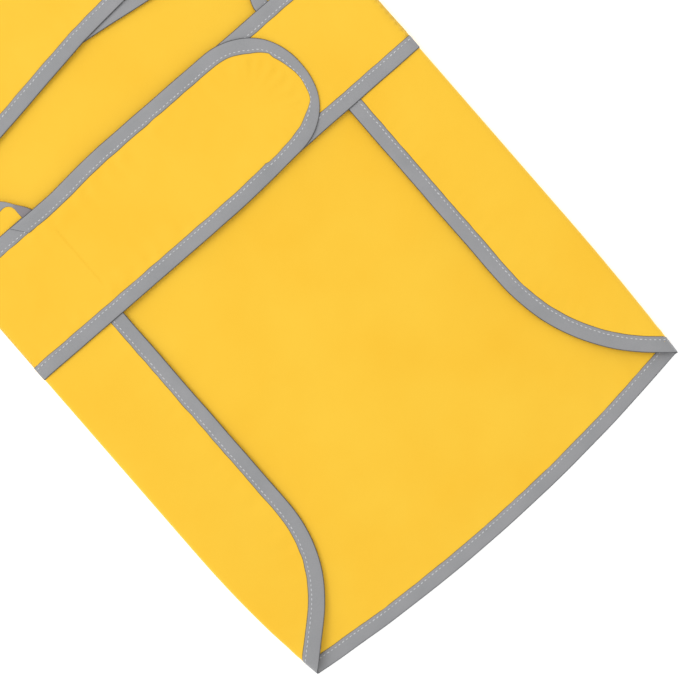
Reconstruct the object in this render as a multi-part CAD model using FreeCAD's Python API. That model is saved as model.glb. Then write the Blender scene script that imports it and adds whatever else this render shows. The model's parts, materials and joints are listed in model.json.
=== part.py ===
"""A dog's raincoat, fastened and laid flat on its back with the belly side up.

One layer of coated cloth covers the back.  Its sides turn up and over at two straight folds, and
end in edges bound with reflective tape.  Two chest flaps turn over at slanting folds ahead of the
leg openings and carry the halves of a stand collar.  A wide belly strap from the left side closes
on a shorter flap from the right side with hook-and-loop tape, and so do the chest flaps.

Frame, in millimetres: +X is the side where the strap's round end lies, +Y points to the head,
+Z is up, away from the surface that the coat's back rests on.  The origin is the centre of the
coat's box, at its lowest face.
"""

import FreeCAD, Part
import math
import os

V = FreeCAD.Vector

# ---- driving dimensions, in millimetres ------------------------------------------------------
half_width = 160.5        # the laid coat, from its middle to a side fold
hem_y = -274.0            # the tail hem's middle
corner_y = -262.0         # the tail corners, where the hem meets the side folds
collar_top_y = 274.0      # the collar's free edge
neck_y = 235.0            # the neck seam, at the folds
neck_dip = 7.0            # how far the back of the neck seam dips towards the tail
cloth = 1.0               # thickness that stands for coated cloth with its turnings
tape_wide = 10.0          # the part of the binding tape that shows on each face
core = 0.4                # the cloth's edge inside the folded tape
core_short = 1.0          # the tape's fold reaches this far past the cloth inside it
gap = 0.3                 # clearance between layers that move apart
turn_gap = 0.2            # each half of a fold stops this short of the fold line
fold_radius = 3.7         # outside of the folded cloth, so the layers lie 5.4 mm apart
patch = 0.5               # thickness of one hook or loop tape

side_edge_x = {-1: 94.5, 1: 100.5}     # the side edges, from the middle
side_bend_y = {-1: -170.0, 1: -152.0}  # where they start to curve out to the tail corners
side_bend_radius = {-1: 95.0, 1: 130.0}
side_bend_turn = {-1: 62.0, 1: 52.0}   # degrees
leg_turn_y = 78.0         # where the side edges start to curve out round the legs
leg_turn_radius = 20.0
leg_end_y = 110.0         # where they reach the side folds

strap_y = (-8.0, 82.0)    # the belly strap's two edges
strap_end_x = 97.0        # the tip of its round end
strap_root_x = 112.0      # the strap and the flap fold back at this distance from the middle
flap_y = (-4.8, 81.0)     # the belly flap's two edges
flap_end_x = 5.0          # the free ends of the two right-hand flaps
flap_corner = 20.0
base_low_z = 6.3          # the sewn root of the strap wraps the fold down to this height

chest_fold_start = (160.5, 114.0)      # the slanting chest fold, at the leg opening
chest_fold_slant = 25.6   # degrees between the chest fold and the coat's length
chest_edge_y = (116.0, 139.5)          # the chest flaps' rear edges, at the fold and the middle
chest_end_centre = (48.0, 171.5)       # the round end of the left chest flap
chest_end_radius = 28.5
throat = (8.0, 206.0)     # where each neck seam ends, near the middle of the throat
collar_end_y = 250.0      # the collar's free edge at the throat

leash_slot = (6.0, 38.0)  # the leash opening's width and length
leash_y = 174.0
leash_lip = 3.0           # the welt round the opening
leash_patch = (30.0, 64.0)
label = (36.0, 18.0)      # the blank size label under the neck seam

far = 90.0                # how far an outline runs past an edge that the fold itself ends
top_z = 40.0

# ---- heights that follow from those ------------------------------------------------------------
side_z = 2 * fold_radius - cloth                  # underside of the side panels
base_z = side_z + cloth                           # underside of the strap's sewn root
flap_z = base_z + gap                             # underside of the belly flap
strap_z = flap_z + cloth + 2 * patch + gap        # underside of the strap over the flap
strap_root_z = base_z + cloth + gap               # underside of the strap at its root
chest_z = side_z + cloth + 2 * patch + gap        # underside of the left chest flap's tip

slant = math.radians(chest_fold_slant)


def chest_fold_x(y):
    """Distance of the chest fold from the middle at a given place along the coat."""
    return chest_fold_start[0] - (y - chest_fold_start[1]) * math.tan(slant)


# ---- small tools -------------------------------------------------------------------------------
def outline(start, *steps):
    """A closed face in plan. A step is a point for a line, or two points for an arc."""
    edges = []
    here = V(start[0], start[1], 0)
    for step in steps:
        if isinstance(step[0], tuple):
            middle, end = (V(p[0], p[1], 0) for p in step)
            edges.append(Part.Arc(here, middle, end).toShape())
        else:
            end = V(step[0], step[1], 0)
            edges.append(Part.LineSegment(here, end).toShape())
        here = end
    home = V(start[0], start[1], 0)
    if here.distanceToPoint(home) > 1e-6:
        edges.append(Part.LineSegment(here, home).toShape())
    return Part.Face(Part.Wire(edges))


def rectangle(x0, x1, y0, y1, corner=0.0):
    """A rectangle in plan, with rounded corners where a radius is given."""
    if not corner:
        return outline((x0, y0), (x1, y0), (x1, y1), (x0, y1))
    k = corner * (1 - math.sqrt(0.5))
    return outline(
        (x0 + corner, y0), (x1 - corner, y0), ((x1 - k, y0 + k), (x1, y0 + corner)),
        (x1, y1 - corner), ((x1 - k, y1 - k), (x1 - corner, y1)),
        (x0 + corner, y1), ((x0 + k, y1 - k), (x0, y1 - corner)),
        (x0, y0 + corner), ((x0 + k, y0 + k), (x0 + corner, y0)),
    )


def prism(face, low=-top_z, high=top_z):
    """The upright block over a face in plan."""
    block = face.extrude(V(0, 0, high - low))
    block.translate(V(0, 0, low))
    return block


def inset(face, distance):
    return face.makeOffset2D(-distance, 2)


def layer(levels, trim=0.0, fold=None, thick=cloth):
    """The outline of a layer of cloth seen end on, as (u, z) edges, u being the way in from a fold.

    levels lists (u, underside z). With fold, the radius of its outside, the layer starts in the
    upper quarter of that fold. trim thins the layer from both faces, for the core inside a tape.
    """
    lower = [V(u, 0, z + trim) for u, z in levels]
    upper = [V(u, 0, z + thick - trim) for u, z in levels]
    edges = []
    if fold:
        centre = fold_radius
        outer = fold - trim
        inner = fold - thick + trim
        half = math.sqrt(0.5)
        edges.append(Part.Arc(V(centre - outer, 0, centre),
                              V(centre - outer * half, 0, centre + outer * half),
                              V(centre, 0, centre + outer)).toShape())
        edges.append(Part.Arc(V(centre, 0, centre + inner),
                              V(centre - inner * half, 0, centre + inner * half),
                              V(centre - inner, 0, centre)).toShape())
        edges.append(Part.LineSegment(V(centre - inner, 0, centre),
                                      V(centre - outer, 0, centre)).toShape())
    else:
        edges.append(Part.LineSegment(lower[0], upper[0]).toShape())
    for line in (lower, upper):
        for a, b in zip(line, line[1:]):
            edges.append(Part.LineSegment(a, b).toShape())
    edges.append(Part.LineSegment(lower[-1], upper[-1]).toShape())
    return Part.Face(Part.Wire(Part.__sortEdges__(edges)))


def ribbon(profile, side, start, turn, length):
    """A layer seen end on, drawn out along a fold.

    side is -1 for the left and 1 for the right, start the fold's (distance from the middle, y),
    turn the fold's slant in radians and length how far it is drawn out.
    """
    solid = profile.extrude(V(0, length, 0))
    solid.rotate(V(0, 0, 0), V(0, 0, 1), -math.degrees(turn))
    solid.translate(V(-start[0], start[1], 0))
    if side > 0:
        solid = solid.mirror(V(0, 0, 0), V(1, 0, 0))
    return solid


def bound(full, thin, shape, edged):
    """Splits a layer into its cloth and the tape folded round its edges.

    full and thin are the layer and its core; shape is the cut in plan, and edged a cut whose
    outline runs along the bound edges only.
    """
    inside = prism(inset(edged, tape_wide))
    reach = prism(inset(edged, core_short))
    whole = full.common(prism(shape))
    middle = whole.common(inside)
    tongue = thin.common(prism(shape)).common(reach)
    panel = middle.fuse(tongue).removeSplitter()
    tape = whole.cut(inside).cut(tongue)
    return panel, tape


def save(name, shape):
    solids = shape.Solids
    for s in solids:
        assert s.isValid() and s.isClosed(), name
    body = solids[0] if len(solids) == 1 else Part.makeCompound(solids)
    print(f"{name:24s} solids {len(solids)}  volume {body.Volume / 1000:8.3f} cm3")
    body.exportStep(f"parts/{name}.step")


# ---- the cuts in plan --------------------------------------------------------------------------
def hem_arc_points():
    """The hem's two corners and its middle."""
    return (-half_width, corner_y), (0.0, hem_y), (half_width, corner_y)


def back_cut():
    left, middle, right = hem_arc_points()
    neck_x = chest_fold_x(neck_y)
    top = neck_y - neck_dip
    x0, y0 = chest_fold_start
    return outline(
        left, (middle, right), (x0, y0), (neck_x, neck_y), ((0, top), (-neck_x, neck_y)), (-x0, y0),
    )


def hem_cut():
    """The back's cut with only the tail hem as a bound edge."""
    left, middle, right = hem_arc_points()
    slope = (left[1] - hem_y) / half_width
    out = half_width + far
    drop = 2 * far * slope
    front = collar_top_y + 2 * far
    return outline(
        (-out, left[1] + drop), left, (middle, right), (out, right[1] + drop), (out, front),
        (-out, front),
    )


def side_cut(side):
    """A side panel: its inner edge, the curve to the tail corner and the curve round the leg."""
    x = side_edge_x[side] * side
    y = side_bend_y[side]
    r = side_bend_radius[side]
    turn = math.radians(side_bend_turn[side])
    bend = (x + side * r * (1 - math.cos(turn)), y - r * math.sin(turn))
    bend_middle = (x + side * r * (1 - math.cos(turn / 2)), y - r * math.sin(turn / 2))
    run = (half_width + far) * side - bend[0]
    corner = (bend[0] + run, bend[1] - abs(run) / math.tan(turn))
    leg = leg_turn_radius
    half = math.sqrt(0.5)
    leg_middle = (x + side * leg * (1 - half), leg_turn_y + leg * half)
    leg_top = (x + side * leg, leg_turn_y + leg)
    rise = (leg_end_y - leg_top[1]) / (half_width - abs(leg_top[0]))
    outer = (half_width + far) * side
    return outline(
        corner, bend, (bend_middle, (x, y)), (x, leg_turn_y), (leg_middle, leg_top),
        (outer, leg_top[1] + rise * abs(outer - leg_top[0])),
    )


def strap_cut():
    """The belly strap with its round end; the root runs on past its fold line."""
    low, high = strap_y
    r = (high - low) / 2
    start = -strap_root_x - far
    return outline(
        (start, low), (strap_end_x - r, low), ((strap_end_x, low + r), (strap_end_x - r, high)),
        (start, high),
    )


def flap_cut():
    low, high = flap_y
    x, far_x, r = flap_end_x, strap_root_x + far, flap_corner
    k = r * (1 - math.sqrt(0.5))
    return outline(
        (far_x, low), (far_x, high), (x + r, high), ((x + k, high - k), (x, high - r)),
        (x, low + r), ((x + k, low + k), (x + r, low)),
    )


def chest_cut(side):
    """A chest flap without its collar. The left one has a round end, the right one a square end."""
    low, middle = chest_edge_y
    slope = (middle - low) / half_width
    out = half_width + far
    neck_x = chest_fold_x(neck_y)
    rise = (neck_y - throat[1]) / (neck_x - throat[0])
    neck_out = neck_y + rise * (out - neck_x)
    if side < 0:
        x, y = chest_end_centre
        r = chest_end_radius
        return outline(
            (-out, middle - slope * out), (0, middle), (x, y - r), ((x + r, y), (x, y + r)),
            (-throat[0], throat[1]), (-out, neck_out),
        )
    return outline(
        (out, middle - slope * out), (flap_end_x, middle - slope * flap_end_x),
        (flap_end_x, throat[1]), (throat[0], throat[1]), (out, neck_out),
    )


def chest_edges(side):
    """The same flap, carried on past the neck seam, which has no tape."""
    low, middle = chest_edge_y
    slope = (middle - low) / half_width
    out = half_width + far
    if side < 0:
        x, y = chest_end_centre
        r = chest_end_radius
        return outline(
            (-out, middle - slope * out), (0, middle), (x, y - r), ((x + r, y), (x, y + r)),
            (-throat[0], throat[1]), (-throat[0], throat[1] + far), (-out, throat[1] + far),
        )
    return outline(
        (out, middle - slope * out), (flap_end_x, middle - slope * flap_end_x),
        (flap_end_x, throat[1] + far), (out, throat[1] + far),
    )


def collar_cut(side):
    """Half of the collar's front, from the neck seam to its free edge."""
    neck_x = chest_fold_x(neck_y)
    top_x = chest_fold_x(collar_top_y) - 2 * fold_radius
    out = half_width + far
    rise = (neck_y - throat[1]) / (neck_x - throat[0])
    return outline(
        (side * throat[0], throat[1]), (side * throat[0], collar_end_y),
        (side * top_x, collar_top_y), (side * out, collar_top_y),
        (side * out, neck_y + rise * (out - neck_x)),
    )


def collar_edges(side):
    """The same collar carried on below the neck seam, which has no tape."""
    top_x = chest_fold_x(collar_top_y) - 2 * fold_radius
    out = half_width + far
    return outline(
        (side * throat[0], throat[1] - far), (side * throat[0], collar_end_y),
        (side * top_x, collar_top_y), (side * out, collar_top_y), (side * out, throat[1] - far),
    )


# ---- the pieces --------------------------------------------------------------------------------
full_length = 2 * (far + collar_top_y)


def lower_fold(thick_trim, side, start, turn, length):
    """The lower quarter of a fold, which is part of the back."""
    quarter = layer([(fold_radius, side_z), (fold_radius + cloth, side_z)], thick_trim, fold_radius)
    strip = ribbon(quarter, side, start, turn, length)
    flipped = strip.mirror(V(0, 0, fold_radius), V(0, 0, 1))
    return flipped.cut(prism(rectangle(-300, 300, -400, 400), fold_radius - turn_gap, top_z))


def back_layer(trim):
    """The back as a flat layer whose sides turn up into the lower halves of the folds."""
    r = fold_radius
    x0, y0 = chest_fold_start
    shift = r / math.cos(slant)
    y_kink = y0 + r * math.tan(slant / 2)
    top = collar_top_y + tape_wide
    top_x = chest_fold_x(top) - shift
    flat = outline(
        (-half_width + r, hem_y - far), (half_width - r, hem_y - far), (x0 - r, y_kink),
        (top_x, top), (-top_x, top), (-x0 + r, y_kink),
    )
    solid = prism(flat, trim, cloth - trim)
    for side in (-1, 1):
        straight = lower_fold(trim, side, (half_width, hem_y), 0.0, leg_end_y - hem_y)
        length = (top - chest_edge_y[0]) / math.cos(slant)
        start = (chest_fold_x(chest_edge_y[0]), chest_edge_y[0])
        slanting = lower_fold(trim, side, start, slant, length)
        solid = solid.fuse(straight).fuse(slanting)
    return solid.removeSplitter()


def make_back():
    full, thin = back_layer(0.0), back_layer((cloth - core) / 2)
    panel, hem = bound(full, thin, back_cut_with_room(), hem_cut())
    neck = prism(neck_block())
    body = panel.cut(neck)
    slot = rectangle(-leash_slot[0] / 2 - leash_lip, leash_slot[0] / 2 + leash_lip,
                     leash_y - leash_slot[1] / 2 - leash_lip,
                     leash_y + leash_slot[1] / 2 + leash_lip, leash_lip)
    save("back_panel", body.cut(prism(slot)))
    save("tail_hem_binding", hem)
    return full, thin, slot


def back_cut_with_room():
    """The back's cut, a little wider at the sides, where the folds themselves end it."""
    left, middle, right = hem_arc_points()
    out = half_width + far
    slope = (left[1] - hem_y) / half_width
    return outline(
        (-out, left[1] + 2 * far * slope), left, (middle, right), (out, right[1] + 2 * far * slope),
        (out, collar_top_y), (-out, collar_top_y),
    )


def neck_block():
    """Everything ahead of the back's neck seam, in plan."""
    neck_x = chest_fold_x(neck_y)
    out = half_width + far
    return outline(
        (-out, neck_y), (-neck_x, neck_y), ((0, neck_y - neck_dip), (neck_x, neck_y)), (out, neck_y),
        (out, collar_top_y + far), (-out, collar_top_y + far),
    )


def make_back_collar(full, thin):
    edged = rectangle(-half_width - far, half_width + far, -far, collar_top_y)
    panel, tape = bound(full, thin, neck_block().common(edged).Faces[0], edged)
    save("collar_back", panel)
    save("collar_back_binding", tape)


def make_leash_port(slot):
    opening = rectangle(-leash_slot[0] / 2, leash_slot[0] / 2,
                        leash_y - leash_slot[1] / 2, leash_y + leash_slot[1] / 2, leash_lip / 2)
    welt = prism(slot, 0, cloth + patch).cut(prism(opening))
    save("leash_port_welt", welt)
    w, h = leash_patch
    plate = rectangle(-w / 2, w / 2, leash_y - h / 2, leash_y + h / 2, leash_lip)
    save("leash_port_patch", prism(plate, cloth, cloth + patch).cut(prism(slot)))
    w, h = label
    y = neck_y - neck_dip
    save("size_label", prism(rectangle(-w / 2, w / 2, y - h, y, 1.0), cloth, cloth + patch))


def make_side(side, name):
    """A side panel, with the sewn root of the strap or the flap on top of it."""
    levels = [(fold_radius, side_z), (2 * fold_radius, side_z), (half_width, side_z)]
    start = (half_width, hem_y - far)
    lower_half = prism(rectangle(-300, 300, -400, 400), -top_z, fold_radius + turn_gap)
    full = ribbon(layer(levels, 0.0, fold_radius), side, start, 0.0, full_length).cut(lower_half)
    thin = ribbon(layer(levels, (cloth - core) / 2, fold_radius), side, start, 0.0,
                  full_length).cut(lower_half)
    cut = side_cut(side)
    panel, tape = bound(full, thin, cut, cut)
    save(f"{name}_side_panel", panel)
    save(f"{name}_side_binding", tape)

    levels = [(fold_radius, base_z), (half_width - strap_root_x - gap, base_z)]
    wrap = fold_radius + cloth
    low_end = prism(rectangle(-300, 300, -400, 400), -top_z, base_low_z)
    full = ribbon(layer(levels, 0.0, wrap), side, start, 0.0, full_length).cut(low_end)
    thin = ribbon(layer(levels, (cloth - core) / 2, wrap), side, start, 0.0,
                  full_length).cut(low_end)
    low, high = strap_y if side < 0 else flap_y
    cut = rectangle(-half_width - far, half_width + far, low, high)
    panel, tape = bound(full, thin, cut, cut)
    save(f"{name}_strap_root", panel)
    front = [s for s in tape.Solids if s.CenterOfMass.y > (low + high) / 2]
    rear = [s for s in tape.Solids if s.CenterOfMass.y < (low + high) / 2]
    save(f"{name}_root_front_binding", Part.makeCompound(front))
    save(f"{name}_root_rear_binding", Part.makeCompound(rear))


def make_strap():
    """The long strap from the left: it rises over the flap, and lies flat to its round end."""
    root = half_width - strap_root_x
    levels = [(root, strap_root_z), (root + 52, strap_z), (half_width + strap_end_x + cloth, strap_z)]
    start = (half_width, hem_y)
    full = ribbon(layer(levels), -1, start, 0.0, full_length)
    thin = ribbon(layer(levels, (cloth - core) / 2), -1, start, 0.0, full_length)
    cut = strap_cut()
    panel, tape = bound(full, thin, cut, cut)
    save("belly_strap", panel)
    save("belly_strap_binding", tape)
    low, high = strap_y
    hook = rectangle(22, 78, low + 20, high - 20, 6.0)
    save("belly_hook_patch", prism(hook, strap_z - patch, strap_z))


def make_flap():
    """The short flap from the right, under the strap."""
    root = half_width - strap_root_x
    levels = [(root, flap_z), (half_width, flap_z)]
    start = (half_width, hem_y)
    full = ribbon(layer(levels), 1, start, 0.0, full_length)
    thin = ribbon(layer(levels, (cloth - core) / 2), 1, start, 0.0, full_length)
    cut = flap_cut()
    panel, tape = bound(full, thin, cut, cut)
    save("belly_flap", panel)
    save("belly_flap_binding", tape)
    low, high = flap_y
    loop = rectangle(20, 84, 11, 63, 6.0)
    save("belly_loop_patch", prism(loop, flap_z + cloth, flap_z + cloth + patch))


def make_chest(side, name):
    """A chest flap and its half of the collar, on the slanting fold."""
    levels = [(fold_radius, side_z), (60.0, side_z)]
    if side < 0:
        levels += [(98.0, chest_z), (half_width + far, chest_z)]
    else:
        levels += [(half_width + far, side_z)]
    start = chest_fold_start
    lower_half = prism(rectangle(-300, 300, -400, 400), -top_z, fold_radius + turn_gap)
    parts = []
    for trim in (0.0, (cloth - core) / 2):
        strip = ribbon(layer(levels, trim, fold_radius), side, start, slant, full_length)
        parts.append(strip.cut(lower_half))
    full, thin = parts
    panel, tape = bound(full, thin, chest_cut(side), chest_edges(side))
    save(f"{name}_chest_flap", panel)
    save(f"{name}_chest_binding", tape)
    panel, tape = bound(full, thin, collar_cut(side), collar_edges(side))
    save(f"collar_{name}", panel)
    save(f"collar_{name}_binding", tape)


def make_chest_patches():
    hook = rectangle(18, 64, 155, 189, 5.0)
    save("chest_hook_patch", prism(hook, chest_z - patch, chest_z))
    loop = rectangle(18, 70, 156, 187, 5.0)
    save("chest_loop_patch", prism(loop, side_z + cloth, side_z + cloth + patch))


def main():
    os.makedirs("parts", exist_ok=True)
    full, thin, slot = make_back()
    make_back_collar(full, thin)
    make_leash_port(slot)
    make_side(-1, "left")
    make_side(1, "right")
    make_strap()
    make_flap()
    make_chest(-1, "left")
    make_chest(1, "right")
    make_chest_patches()


main()
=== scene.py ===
import json
import math
import bmesh
import bpy
import numpy as np
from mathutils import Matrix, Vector
from mathutils.geometry import delaunay_2d_cdt


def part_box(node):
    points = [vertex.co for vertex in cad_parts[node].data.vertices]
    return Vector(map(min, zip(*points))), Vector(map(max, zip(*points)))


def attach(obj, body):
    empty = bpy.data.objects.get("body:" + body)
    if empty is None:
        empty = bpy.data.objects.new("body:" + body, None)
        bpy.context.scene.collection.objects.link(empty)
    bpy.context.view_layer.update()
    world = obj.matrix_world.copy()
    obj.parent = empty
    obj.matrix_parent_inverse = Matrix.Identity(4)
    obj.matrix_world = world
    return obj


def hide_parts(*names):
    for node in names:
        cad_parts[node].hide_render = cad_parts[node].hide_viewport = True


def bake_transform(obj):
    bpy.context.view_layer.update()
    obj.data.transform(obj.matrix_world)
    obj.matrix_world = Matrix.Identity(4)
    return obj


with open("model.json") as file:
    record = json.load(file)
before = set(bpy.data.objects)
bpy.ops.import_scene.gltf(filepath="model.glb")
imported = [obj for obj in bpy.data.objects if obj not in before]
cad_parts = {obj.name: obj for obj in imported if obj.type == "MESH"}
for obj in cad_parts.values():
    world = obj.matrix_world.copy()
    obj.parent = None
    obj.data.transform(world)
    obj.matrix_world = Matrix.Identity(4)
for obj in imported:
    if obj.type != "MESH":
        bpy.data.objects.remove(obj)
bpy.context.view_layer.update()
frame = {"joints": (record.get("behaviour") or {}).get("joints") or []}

mm = 0.001  # the sizes below are in millimetres, meshes are in metres

# the camera looks straight down on the belly side through a long lens
cameraSettings = {"height": 1500.0, "lookAt": (-0.3, -111.7), "roll": -41.0, "shownWidth": 434.6,
                  "measuredAt": 6.0, "sensor": 36.0, "farthest": 20.0}  # farthest in metres
camera = bpy.data.objects.new("Camera", bpy.data.cameras.new("Camera"))
bpy.context.scene.collection.objects.link(camera)
bpy.context.scene.camera = camera
camera.location = Vector((*cameraSettings["lookAt"], cameraSettings["height"])) * mm
camera.rotation_euler = (0, 0, math.radians(cameraSettings["roll"]))
camera.data.sensor_width = cameraSettings["sensor"]
distance = cameraSettings["height"] - cameraSettings["measuredAt"]
camera.data.lens = cameraSettings["sensor"] * distance / cameraSettings["shownWidth"]
camera.data.clip_end = cameraSettings["farthest"]

# what the frame says
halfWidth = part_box("back_panel")[1].x / mm  # from the middle to a side fold
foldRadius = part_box("left_side_panel")[1].z / mm / 2  # outside of a fold
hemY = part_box("tail_hem_binding")[0].y / mm
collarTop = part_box("collar_back_binding")[1].y / mm
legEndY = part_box("left_side_binding")[1].y / mm  # where the side edges reach their folds
joints = {j["name"]: j for j in frame["joints"]}

cloth = {"thick": 0.5, "step": 3.0, "seamInset": 10.5}  # the sides are sewn to the back this far in from their folds
tape = {"width": 10.0, "half": 0.55, "skin": 0.28, "step": 2.0, "wobble": 0.07, "lip": 0.10, "pucker": 0.08}
midRadius = foldRadius - cloth["thick"] / 2
quarter = midRadius * math.pi / 2  # from the outermost line of a fold to where the cloth lies level again
backMid = cloth["thick"] / 2


def toLinear(hexColour):
    values = [int(hexColour[i:i + 2], 16) / 255 for i in (1, 3, 5)]
    return tuple(v / 12.92 if v <= 0.04045 else ((v + 0.055) / 1.055) ** 2.4 for v in values) + (1.0,)


def addNode(tree, kind, inputs=None, **settings):
    node = tree.nodes.new(kind)
    for key, value in settings.items():
        setattr(node, key, value)
    for socket, value in (inputs or {}).items():
        if isinstance(value, bpy.types.NodeSocket):
            tree.links.new(value, node.inputs[socket])
        else:
            node.inputs[socket].default_value = value
    return node


def newMaterial(name):
    material = bpy.data.materials.new(name)
    material.use_nodes = True
    tree = material.node_tree
    tree.nodes.clear()
    shader = addNode(tree, "ShaderNodeBsdfPrincipled")
    addNode(tree, "ShaderNodeOutputMaterial", {"Surface": shader.outputs[0]})
    return material, tree, shader


def wavesEvery(spacing):
    return 1000 * math.pi / 10 / spacing  # the scale at which a wave texture repeats every so many millimetres


clothLook = {"yellow": "#FECB34", "shade": "#FDC62C", "thread": 0.8, "patch": 70.0, "crease": 16.0,
             "roughness": 0.55, "smoothest": -0.06, "roughest": 0.08, "sheen": 0.15, "sheenRoughness": 0.4,
             "specular": 0.3, "creaseDepth": 1.2, "creaseStrength": 0.25, "weaveDepth": 0.2, "weaveStrength": 0.10}


# Woven polyester with a soft polyurethane coat: an even, saturated yellow with a low satin gloss that softens
# towards glancing angles. Real threads are 0.25 mm apart and wouldn't show, so the weave is drawn at 0.8 mm.
def makeCoatedPolyester(look):
    material, tree, shader = newMaterial("polyester_woven_and_coated")
    place = addNode(tree, "ShaderNodeTexCoord").outputs["Object"]
    patches = addNode(tree, "ShaderNodeTexNoise", {"Vector": place, "Scale": 1000 / look["patch"], "Detail": 3.0})
    ramp = addNode(tree, "ShaderNodeMapRange", {0: patches.outputs[0], 1: 0.35, 2: 0.7})
    colour = addNode(tree, "ShaderNodeMix", {0: ramp.outputs[0], 6: toLinear(look["yellow"]),
                                             7: toLinear(look["shade"])}, data_type="RGBA")
    threads = {"Vector": place, "Scale": wavesEvery(look["thread"])}
    warp = addNode(tree, "ShaderNodeTexWave", threads, bands_direction="X")
    weft = addNode(tree, "ShaderNodeTexWave", threads, bands_direction="Y")
    weave = addNode(tree, "ShaderNodeMath", {0: warp.outputs[1], 1: weft.outputs[1]}, operation="MULTIPLY")
    crease = addNode(tree, "ShaderNodeTexNoise", {"Vector": place, "Scale": 1000 / look["crease"], "Detail": 5.0,
                                                  "Roughness": 0.55})
    low = addNode(tree, "ShaderNodeBump", {"Height": crease.outputs[0], "Strength": look["creaseStrength"],
                                           "Distance": look["creaseDepth"] * mm})
    fine = addNode(tree, "ShaderNodeBump", {"Height": weave.outputs[0], "Strength": look["weaveStrength"],
                                            "Distance": look["weaveDepth"] * mm, "Normal": low.outputs[0]})
    gloss = addNode(tree, "ShaderNodeMapRange", {0: crease.outputs[0], 3: look["roughness"] + look["smoothest"],
                                                 4: look["roughness"] + look["roughest"]})
    tree.links.new(colour.outputs[2], shader.inputs["Base Color"])
    tree.links.new(gloss.outputs[0], shader.inputs["Roughness"])
    tree.links.new(fine.outputs[0], shader.inputs["Normal"])
    shader.inputs["Sheen Weight"].default_value = look["sheen"]
    shader.inputs["Sheen Roughness"].default_value = look["sheenRoughness"]
    shader.inputs["Specular IOR Level"].default_value = look["specular"]
    return material


# edge is the colour of the painted shadow line along the tape's edges and lapped ends; back is painted shade for a
# twisted tape, warmed as by light thrown from the yellow cloth
tapeLook = {"grey": "#9C9C9E", "dark": "#949597", "edge": "#4E4F52", "back": "#8B8588", "bead": 0.55, "rib": 1.1,
            "worn": 22.0, "sewnEdgeShadow": (0.955, 0.985), "foldEdgeShadow": (0.035, 0.0), "ribShare": 0.35,
            "depth": 0.2, "strength": 0.18, "roughness": 0.5, "metallic": 0.15}


# Polyester tape with glass beads bonded on: a flat silver grey, evenly lit from any side, with a fine speckle, a
# painted shadow line along each turned and sewn edge and across a lapped end, and painted shade where a twist lies in
# shadow.
# Beads of 0.05 mm wouldn't show, so they are drawn at 0.55 mm.
def makeReflectiveTape(look):
    material, tree, shader = newMaterial("polyester_tape_glass_bead_coated")
    place = addNode(tree, "ShaderNodeTexCoord").outputs["Object"]
    ownMap = addNode(tree, "ShaderNodeUVMap", uv_map="tapeUV").outputs[0]
    alongAcross = addNode(tree, "ShaderNodeSeparateXYZ", {0: ownMap}).outputs
    beads = addNode(tree, "ShaderNodeTexNoise", {"Vector": place, "Scale": 1000 / look["bead"], "Detail": 2.0})
    worn = addNode(tree, "ShaderNodeTexNoise", {"Vector": place, "Scale": 1000 / look["worn"], "Detail": 4.0})
    mottle = addNode(tree, "ShaderNodeMapRange", {0: worn.outputs[0], 1: 0.35, 2: 0.75})
    base = addNode(tree, "ShaderNodeMix", {0: mottle.outputs[0], 6: toLinear(look["grey"]),
                                           7: toLinear(look["dark"])}, data_type="RGBA")
    speckle = addNode(tree, "ShaderNodeMapRange", {0: beads.outputs[0], 1: 0.3, 2: 0.7, 3: 0.94, 4: 1.05})
    base = addNode(tree, "ShaderNodeMix", {0: 1.0, 6: base.outputs[2], 7: speckle.outputs[0]}, data_type="RGBA",
                   blend_type="MULTIPLY")
    turned = addNode(tree, "ShaderNodeAttribute", attribute_name="shade")  # 1 where the twisted tape lies in shadow: painted shade, warmed as by light from the yellow cloth
    base = addNode(tree, "ShaderNodeMix", {0: turned.outputs["Fac"], 6: base.outputs[2],
                                           7: toLinear(look["back"])}, data_type="RGBA")
    # painted shadow along both edges of the tape, in the edge colour
    lines = [addNode(tree, "ShaderNodeMapRange", {0: alongAcross[1], 1: look[name][0], 2: look[name][1]})
             for name in ("sewnEdgeShadow", "foldEdgeShadow")]
    rim = addNode(tree, "ShaderNodeMath", {0: lines[0].outputs[0], 1: lines[1].outputs[0]}, operation="MAXIMUM")
    endShadowLine = addNode(tree, "ShaderNodeAttribute", attribute_name="endShadowLine")  # 1 at a tape's lapped end, which gets a painted shadow line
    rim = addNode(tree, "ShaderNodeMath", {0: rim.outputs[0], 1: endShadowLine.outputs["Fac"]}, operation="MAXIMUM")
    base = addNode(tree, "ShaderNodeMix", {0: rim.outputs[0], 6: base.outputs[2], 7: toLinear(look["edge"])},
                   data_type="RGBA")
    ribs = addNode(tree, "ShaderNodeMath", {0: alongAcross[0], 1: 2000 * math.pi / look["rib"]},
                   operation="MULTIPLY")
    ribs = addNode(tree, "ShaderNodeMath", {0: ribs.outputs[0]}, operation="SINE")
    height = addNode(tree, "ShaderNodeMath", {0: ribs.outputs[0], 1: look["ribShare"], 2: beads.outputs[0]},
                     operation="MULTIPLY_ADD")
    bump = addNode(tree, "ShaderNodeBump", {"Height": height.outputs[0], "Strength": look["strength"],
                                            "Distance": look["depth"] * mm})
    tree.links.new(base.outputs[2], shader.inputs["Base Color"])
    tree.links.new(bump.outputs[0], shader.inputs["Normal"])
    shader.inputs["Roughness"].default_value = look["roughness"]
    shader.inputs["Metallic"].default_value = look["metallic"]
    return material


# spun thread: matt, pale and slightly furry, so each stitch reads as a small soft dash
threadLook = {"colour": "#DADBDD", "other": "#C4C5C8", "grain": 0.6, "depth": 0.1, "roughness": 0.55, "ior": 1.57}
# moulded hooks: near black, with a coarse broken gloss from the rows of hooks, drawn at 0.9 mm
hookLook = {"colour": "#1B1B1D", "other": "#2B2B2E", "grain": 0.9, "depth": 0.3, "roughness": 0.45, "ior": 1.53}
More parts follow.
